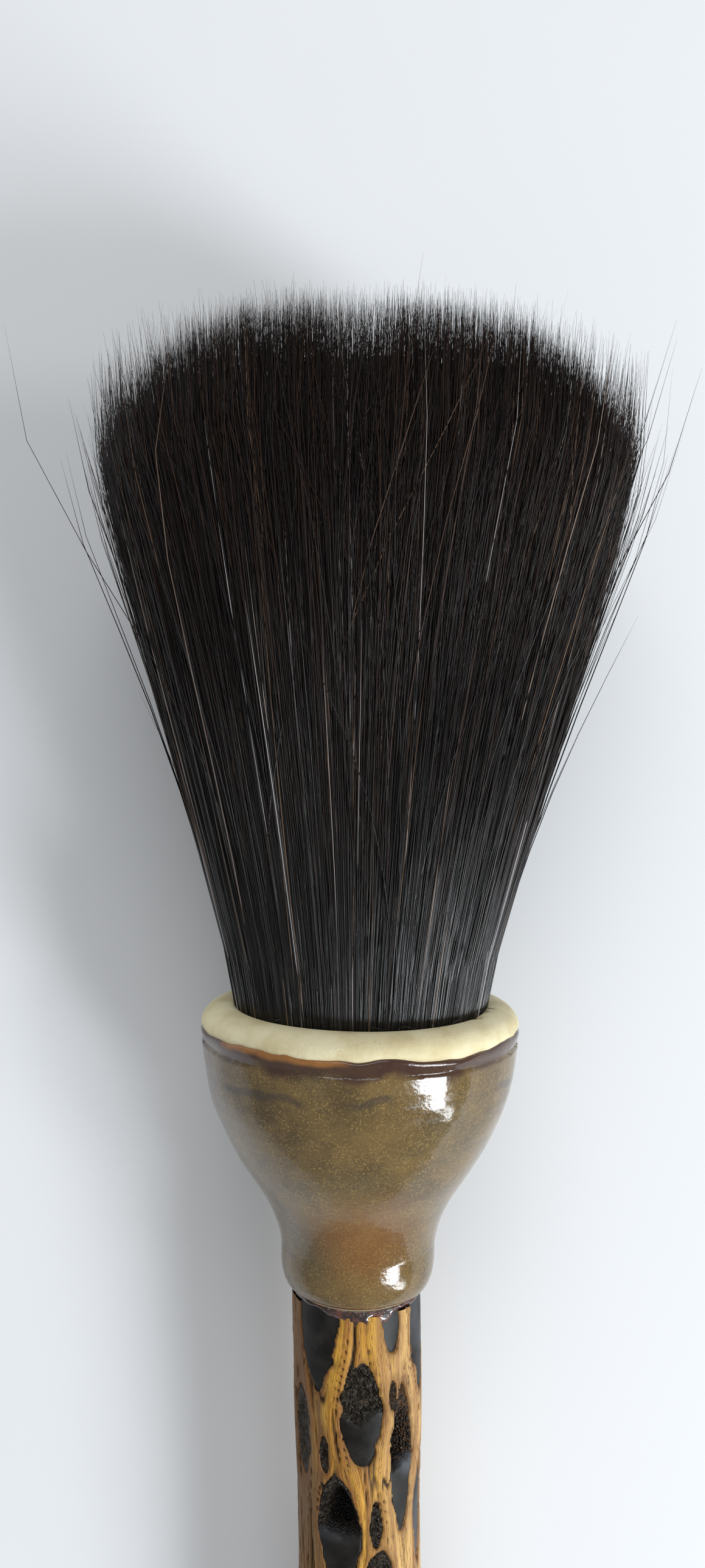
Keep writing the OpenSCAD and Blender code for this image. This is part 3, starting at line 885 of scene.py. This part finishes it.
# Where an inlay is raw, how deep its hollow is in mm, pale share, fibrous share; the others draw theirs
FINISHES = {
    "inlay_01": ("none", 0.0, 0.0, 0.0),
    "inlay_02": ("top", 0.7, 0.0, 0.0),
    "inlay_03": ("top", 2.9, 0.8, 0.8),
    "inlay_04": ("all", 0.6, 0.2, 0.3),
    "inlay_05": ("top", 3.4, 0.3, 0.0),
    "inlay_06": ("none", 0.0, 0.5, 0.0),
    "inlay_07": ("all", 0.5, 0.6, 0.0),
    "inlay_08": ("top", 0.6, 0.5, 0.0),
    "inlay_09": ("none", 0.1, 0.6, 0.0),
    "inlay_10": ("all", 0.5, 0.0, 0.2),
    "inlay_11": ("none", 0.1, 0.3, 0.0),
    "inlay_12": ("all", 0.4, 0.0, 0.3),
    "inlay_14": ("top", 2.2, 0.2, 0.3),
    "inlay_15": ("top", 0.7, 0.2, 0.0),
}


def inlay_mesh(window, finish, bow):
    """Points, faces and fields of one inlay: an oval on the wood's curve, with a skirt under its edge."""
    _, at, angle, length, width = window
    side, hollow, pale_share, fibre_share = finish
    rows, columns = 78, 40
    share = np.sin(np.linspace(-0.5, 0.5, rows) * math.pi)
    length, width = length + 1.5 * MM, width + 1.3 * MM
    y = share * length / 2
    half = half_width(y, length, width)
    across = np.sin(np.linspace(-0.5, 0.5, columns) * math.pi)
    x = half[:, None] * across[None, :]
    y = np.broadcast_to(y[:, None], x.shape)
    depth = at + y
    turn = angle + x / HANDLE_MEAN
    radius = wood_radius(depth)
    spots = lathe_points(radius, -depth, turn)
    gap = -inside_oval(x, y, length, width) - 0.6 * MM
    ragged = 1.6 * MM * rough(spots, 3 * MM, 41) + 0.5 * MM * rough(spots, 0.8 * MM, 42)
    if side == "top":
        raw = 1 - eased(y + ragged, -0.02 * length, 0.06 * length)
    elif side == "all":
        raw = np.ones_like(x)
    else:
        raw = 0.0 * x
    pit = raw * eased(gap, -0.1 * MM, 0.9 * MM + 0.3 * hollow * MM)
    grit = rough(spots, 0.9 * MM, 43) + 0.6 * rough(spots, 0.4 * MM, 44)
    coarse = (0.08 + 0.13 * min(hollow, 1.5)) * MM
    level = radius - 0.30 * MM - hollow * MM * pit + coarse * grit * pit
    level += 0.05 * MM * rough(spots, 4 * MM, 45) * (1 - raw)
    level -= 0.25 * MM * (1 - eased(gap, -0.5 * MM, 0.1 * MM))
    pale = pale_share * (1 - raw) * eased(rough(spots, 5 * MM, 46), -0.5, 0.4)
    fibre = fibre_share * raw
    edge = np.zeros(x.shape, bool)
    edge[0] = edge[-1] = edge[:, 0] = edge[:, -1] = True
    level = np.where(edge, level - 1.2 * MM, level)
    points = placed(level * np.sin(turn) + bow_at(depth, bow), -depth, level * np.cos(turn))
    # Painted shade that darkens the inlay's deeper hollows
    deep = np.clip((hollow - 1.2) / 2.2, 0, 0.9) * pit
    fields = {"raw": raw.ravel(), "pale": pale.ravel(), "fibre": fibre.ravel(), "deep": deep.ravel()}
    return points.reshape(-1, 3), grid_faces(rows, columns, closed=False), fields


class OBJECT_OT_brush_inlays(bpy.types.Operator):
    """Build the charcoal inlays in the wood's openings, one piece for each CAD node"""

    bl_idname = "object.brush_inlays"
    bl_label = "Inlays"

    def execute(self, context):
        look = stone_look()
        bow = context.scene.brush_handle.bow
        rng = np.random.default_rng(5)
        for name in sorted({w[0] for w in WINDOWS}):
            points, faces, fields = [], [], {"raw": [], "pale": [], "fibre": [], "deep": []}
            count = 0
            for window in [w for w in WINDOWS if w[0] == name]:
                side = ("none", "top", "all")[rng.choice(3, p=(0.45, 0.4, 0.15))]
                chosen = (side, rng.uniform(0.3, 2.4), rng.uniform(0, 0.6), rng.uniform(0, 0.3))
                made = inlay_mesh(window, FINISHES.get(name, chosen), bow)
                points.append(made[0])
                faces.append(made[1] + count)
                count += len(made[0])
                for key in fields:
                    fields[key].append(made[2][key])
            fields = {key: np.concatenate(fields[key]) for key in fields}
            piece = new_piece("stone_" + name, np.vstack(points), np.vstack(faces), fields=fields)
            finish_piece(piece, look, "brush", "charcoal_resin", name)
        return {"FINISHED"}


# ---- Hair ----


def grown(start, end, s):
    """Start at the lip, end where the tuft is widest."""
    return start + (end - start) * np.clip(s / TUFT["wide_at"], 0, 1)


def tuft_point(angle, share, s, belly):
    """Across and up of a point at an angle, a share of the way out, and a distance from the lip."""
    power = 2 / grown(2.0, 2.3, s)
    c, d = np.cos(angle), np.sin(angle)
    reach = np.where(d > 0, grown(MOUTH, TUFT["up"], s), grown(MOUTH, belly, s))
    x = share * grown(MOUTH, TUFT["half_w"], s) * np.sign(c) * np.abs(c) ** power
    v = share * reach * np.sign(d) * np.abs(d) ** power
    return x, v


def above_table(x, s, v, gap):
    """The same point, lifted where it would lie under the table."""
    floor = (gap - LIP[2] - s * ALONG[2]) / UPWARD[2]
    return np.maximum(v, floor)


def hair_end(aside):
    """How far the hair reaches from the lip, for a share of the way out to the tuft's side."""
    dome = np.clip(1 - aside ** 3.0, 0, 1) ** 0.6
    return 0.88 * TUFT["wide_at"] + (0.97 * TUFT["length"] - 0.88 * TUFT["wide_at"]) * dome


def hair_bundle(name, count, rng, settings, share_range):
    """A mesh of thin three-sided hairs that run from the mouth to the tuft's rounded end."""
    rings = 8
    root = -4 * MM
    t = np.linspace(0, 1, rings)[None, :]
    angle = rng.uniform(-math.pi, math.pi, count)
    lock_angle = rng.uniform(-math.pi, math.pi, LOCKS)
    lock = np.abs(angle_between(lock_angle[None, :], angle[:, None])).argmin(axis=1)
    share = rng.uniform(*share_range, count)

    # Where each hair ends; some are short and lie on the outside
    end = hair_end(share * np.abs(np.cos(angle)) ** 0.87)
    end = end + rng.normal(0, 1.0 * MM, LOCKS)[lock]
    end = end + rng.normal(0, 0.8 * MM, count) - rng.exponential(1.0 * MM, count)
    short = rng.random(count) < 0.30
    end = np.where(short, end * rng.uniform(0.35, 0.97, count), end)
    share = np.where(short, np.maximum(share, rng.uniform(0.97, 1.02, count)), share)
    end = np.minimum(end, TUFT["length"] + 3.0 * MM)
    s = root + (end[:, None] - root) * t
    grow = np.clip(s / TUFT["wide_at"], 0, 1.2)

    # How each hair turns aside: with its lock, on its own, or right across the others
    drift = rng.normal(0, 0.035, LOCKS)[lock] + rng.normal(0, 0.03, count)
    kind = rng.random(count)
    share = np.where(kind < 0.2, rng.uniform(0.96, 1.015, count), share)
    drift = np.where(kind < 0.22, rng.normal(0, 0.13, count), drift)
    drift = np.where(kind < 0.05, rng.normal(0, 0.34, count), drift)
    gather = 0.9 * angle_between(lock_angle[lock], angle) * rng.uniform(0.0, 0.85, count)
    turn = angle[:, None] + drift[:, None] * grow ** 1.3 + gather[:, None] * grow ** 2.4
    phase = rng.uniform(0, 2 * math.pi, (2, count))
    sway = rng.uniform(0.002, 0.02, count)[:, None] * grow
    turn = turn + sway * np.sin(phase[0][:, None] + 3.1 * t)

    # How far each hair stands out: wisps a little, flyaways much more
    is_wisp = rng.random(count) < 0.05
    loose = np.where(is_wisp, rng.exponential(0.04, count), rng.normal(0, 0.014, count))
    loose = np.where(rng.random(count) < FLYAWAYS, rng.exponential(0.13, count), loose)
    wave = 0.014 * np.sin(phase[1][:, None] + 4.0 * t) * grow
    swell = 1 + 0.035 * np.sin(np.clip(s / TUFT["wide_at"], 0, 1) * math.pi * 0.72)
    out = share[:, None] * swell * (1 + loose[:, None] * grow ** 2 + wave)
    x, v = tuft_point(turn, out, s, settings.belly)
    past = np.maximum(np.abs(x) - TUFT["half_w"], 0)
    side_room = 9.5 * MM
    inside = np.minimum(np.abs(x), TUFT["half_w"])
    x = np.sign(x) * (inside + side_room * (1 - np.exp(-past / side_room)))
    v = above_table(x, s, v, 0.5 * MM)
    v = np.minimum(v, TUFT["up"] + 7 * MM)
    thick = settings.thickness * rng.uniform(0.6, 1.4, count)[:, None] * (1 - 0.72 * t ** 2)
    return hair_mesh(name, placed(x, s, v), thick, rng)


def hair_mesh(name, centre, thick, rng):
    """Three-sided tapering hairs along rows of points, with each hair's shade in its map."""
    count, rings = thick.shape
    tangent = np.gradient(centre, axis=1)
    tangent /= np.linalg.norm(tangent, axis=2, keepdims=True)
    side = np.cross(tangent, UPWARD)
    side /= np.linalg.norm(side, axis=2, keepdims=True)
    top = np.cross(side, tangent)
    ends = np.ones(rings)
    ends[-1] = 0.25
    thick = (thick * ends)[:, :, None, None]
    corners = np.arange(3)[None, None, :] * 2 * math.pi / 3
    roll = rng.uniform(0, 2 * math.pi, count)[:, None, None] + corners
    points = centre[:, :, None, :] + thick * (
        np.cos(roll)[..., None] * side[:, :, None, :] + np.sin(roll)[..., None] * top[:, :, None, :])
    one = grid_faces(rings, 3)
    faces = (one[None, :, :] + (np.arange(count) * rings * 3)[:, None, None]).reshape(-1, 4)
    piece = new_piece(name, points.reshape(-1, 3), faces)
    shade = rng.beta(1.6, 2.2, count) * 0.86
    rare = rng.random(count)
    for portion, low, high in ((0.05, 0.86, 0.93), (0.014, 0.94, 0.975), (0.008, 0.98, 1.0)):
        shade = np.where(rare < portion, rng.uniform(low, high, count), shade)
    along = np.linspace(0, 1, rings)[None, :]
    at = np.stack(np.broadcast_arrays(shade[:, None], along), axis=-1)
    spread = np.repeat(at[:, :, None, :], 3, axis=2).reshape(-1, 2)
    layer = piece.data.uv_layers.new(name="OFBake")
    layer.data.foreach_set("uv", spread[faces.ravel()].astype(np.float32).ravel())
    return piece


def join_to_tuft(piece):
    """Finds how far the tuft_flex joint lies from the lip, and bakes a hair piece's transform into its mesh."""
    joint = next(j for j in frame["joints"] if j["name"] == "tuft_flex")
    away = float((np.array(joint["pos_m"]) - LIP) @ ALONG)
    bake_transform(piece)


def packed_hair(settings):
    """The hair inside the loose hairs, as one closed mass with a ragged end."""
    rows, around = 80, 160
    root = -5 * MM
    angle = np.linspace(-math.pi, math.pi, around, endpoint=False)
    turn, share = np.meshgrid(angle, np.linspace(0, 1, rows))
    ring = round_ring(turn)
    reach = 0.975 * hair_end(0.9 * np.abs(np.cos(turn)))
    reach = reach + 1.2 * MM * rough(30 * ring, 0.5, 52)
    s = root + (reach - root) * share
    closing = np.clip((share - 0.9) / 0.1005, 0, 1)
    fill = (0.93 - 0.07 * share) * np.sqrt(1 - closing ** 2)
    clump = 1 + 0.05 * share * rough(8 * ring, 0.8, 51)
    x, v = tuft_point(turn, fill * clump, s, settings.belly)
    v = above_table(x, s, v, 0.8 * MM)
    flow = np.stack([40 * np.sin(turn), 40 * np.cos(turn), 1.2 * share], axis=-1)
    return new_piece("packed_hair", placed(x, s, v).reshape(-1, 3), grid_faces(rows, around),
                     fields={"flow": flow.reshape(-1, 3)})


def stray_hairs(settings, rng):
    """A few fallen hairs that lie across the cup's lip."""
    count, rings = 16, 7
    t = np.linspace(0, 1, rings)[None, :]
    turn = rng.uniform(-1.2, 1.4, count)[:, None] + rng.normal(0, 0.13, count)[:, None] * t
    reach = rng.uniform(1.2 * MM, 3.4 * MM, count)[:, None]
    radius = MOUTH - 0.4 * MM + reach * t + 0.3 * MM * np.sin(3 * t)
    along = 0.5 * MM - 0.35 * MM * t + 0.2 * MM * np.sin(math.pi * t)
    thick = settings.thickness * 0.7 * (1 - 0.6 * t ** 2) * np.ones((count, 1))
    return hair_mesh("stray_hairs", lathe_points(radius, along, turn), thick, rng)


class OBJECT_OT_brush_hair(bpy.types.Operator):
    """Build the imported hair, the bundles of single hairs round it and the stray ones"""

    bl_idname = "object.brush_hair"
    bl_label = "Hair"

    def execute(self, context):
        settings = context.scene.brush_hair
        mass = packed_hair(settings)
        finish_piece(mass, mass_look(), None, "dark_hair", "hair_root")
        join_to_tuft(mass)
        look = hair_look()
        rng = np.random.default_rng(settings.seed)
        count = settings.hairs
        outer_bundles = settings.bundles - 2
        for k in range(settings.bundles):
            share_range = (0.88, 1.0) if k < outer_bundles else (0.45, 0.95)
            piece = hair_bundle(f"hair_bundle_{k + 1:02d}", count, rng, settings, share_range)
            nodes = ["hair_tuft"] if k == 0 else []
            finish_piece(piece, look, None, "dark_hair", *nodes)
            join_to_tuft(piece)
        finish_piece(stray_hairs(settings, rng), look, "brush", "dark_hair")
        return {"FINISHED"}


# ---- Small parts kept from the CAD model ----


class OBJECT_OT_brush_small_parts(bpy.types.Operator):
    """Give the resin, thread, dowel and end cap their finishes"""

    bl_idname = "object.brush_small_parts"
    bl_label = "Small Parts"

    def execute(self, context):
        for name, look in (("root_resin", resin_look()), ("binding_thread", thread_look()),
                           ("core_rod", dowel_look()), ("end_cap", cap_look())):
            data = frame["nodes"][name].data
            data.materials.clear()
            data.materials.append(look)
        return {"FINISHED"}


# ---- Stage ----


# Name, place and size in metres, power in watts and colour of each light
LIGHTS = (
    ("window_light", (1.0, 0.02, 0.95), (0.22, 0.26), 3.0, (1.0, 1.0, 1.0)),
    ("pane_light", (0.90, -0.55, 0.78), (0.24, 0.50), 11.5, (0.90, 0.95, 1.0)),
    ("low_light", (0.84, -0.60, 0.40), (0.10, 0.40), 2.0, (0.93, 0.97, 1.0)),
    ("sky_light", (-0.15, 1.5, 1.5), (1.6, 1.0), 15.0, (0.97, 0.98, 1.0)),
)


def soft_light(name, place, size, power, colour):
    """A rectangular light that faces the cup's lip."""
    data = bpy.data.lights.new(name, "AREA")
    data.shape = "RECTANGLE"
    data.size = size[0]
    data.size_y = size[1]
    data.energy = power
    data.color = colour
    lamp = bpy.data.objects.new(name, data)
    lamp.location = place
    lamp.rotation_euler = (Vector(LIP) - Vector(place)).to_track_quat("-Z", "Y").to_euler()
    bpy.context.scene.collection.objects.link(lamp)


class OBJECT_OT_brush_stage(bpy.types.Operator):
    """Build the pale table, the soft window light and the camera above the brush"""

    bl_idname = "object.brush_stage"
    bl_label = "Stage"

    def execute(self, context):
        settings = context.scene.brush_stage
        side = 4.0
        corners = [(-side, -side, 0), (side, -side, 0), (side, side, 0), (-side, side, 0)]
        table = new_piece("table", corners, [(0, 1, 2, 3)], smooth=False)
        table.data.materials.append(table_look())

        world = bpy.data.worlds.new("soft_surround")
        context.scene.world = world
        world.use_nodes = True
        backdrop = world.node_tree.nodes["Background"]
        backdrop.inputs["Color"].default_value = (*settings.sky_colour, 1)
        backdrop.inputs["Strength"].default_value = 0.36
        for light in LIGHTS:
            soft_light(*light)

        data = bpy.data.cameras.new("camera")
        data.sensor_width = 36.0
        data.lens = settings.lens
        data.clip_start = 0.01
        data.clip_end = 20.0
        camera = bpy.data.objects.new("camera", data)
        turn = Euler((settings.tilt, 0, 0)).to_matrix() @ Matrix.Rotation(settings.roll, 3, "Z")
        # The middle of the lip as the camera has it: right, up and, below 0, in front
        seen = Vector((1.4, -37.5, -203.6)) * MM
        camera.rotation_euler = turn.to_euler()
        camera.location = Vector(LIP) - turn @ seen
        context.scene.collection.objects.link(camera)
        context.scene.camera = camera
        context.scene.view_settings.view_transform = "Standard"
        return {"FINISHED"}


class VIEW3D_PT_brush(bpy.types.Panel):
    """Buttons and sizes for the brush"""

    bl_idname = "VIEW3D_PT_brush"
    bl_label = "Calligraphy Brush"
    bl_space_type = "VIEW_3D"
    bl_region_type = "UI"
    bl_category = "Brush"

    def draw(self, context):
        for group in SETTINGS:
            settings = getattr(context.scene, group)
            box = self.layout.box()
            for key in settings.bl_rna.properties.keys():
                if key not in ("rna_type", "name"):
                    box.prop(settings, key)
        for operator in OPERATORS:
            self.layout.operator(operator.bl_idname)


SETTINGS = {"brush_cup": BrushCupSettings, "brush_handle": BrushHandleSettings,
            "brush_hair": BrushHairSettings, "brush_stage": BrushStageSettings}
OPERATORS = (OBJECT_OT_brush_cup, OBJECT_OT_brush_handle, OBJECT_OT_brush_inlays,
             OBJECT_OT_brush_hair, OBJECT_OT_brush_small_parts, OBJECT_OT_brush_stage)


def register():
    for group in (*SETTINGS.values(), *OPERATORS, VIEW3D_PT_brush):
        bpy.utils.register_class(group)
    for key, group in SETTINGS.items():
        setattr(bpy.types.Scene, key, bpy.props.PointerProperty(type=group))


def unregister():
    for key in SETTINGS:
        delattr(bpy.types.Scene, key)
    for group in (VIEW3D_PT_brush, *reversed(OPERATORS), *SETTINGS.values()):
        bpy.utils.unregister_class(group)


def main():
    register()
    for operator in OPERATORS:
        group, name = operator.bl_idname.split(".")
        getattr(getattr(bpy.ops, group), name)()
    bpy.context.view_layer.update()


if __name__ == "__main__":
    main()
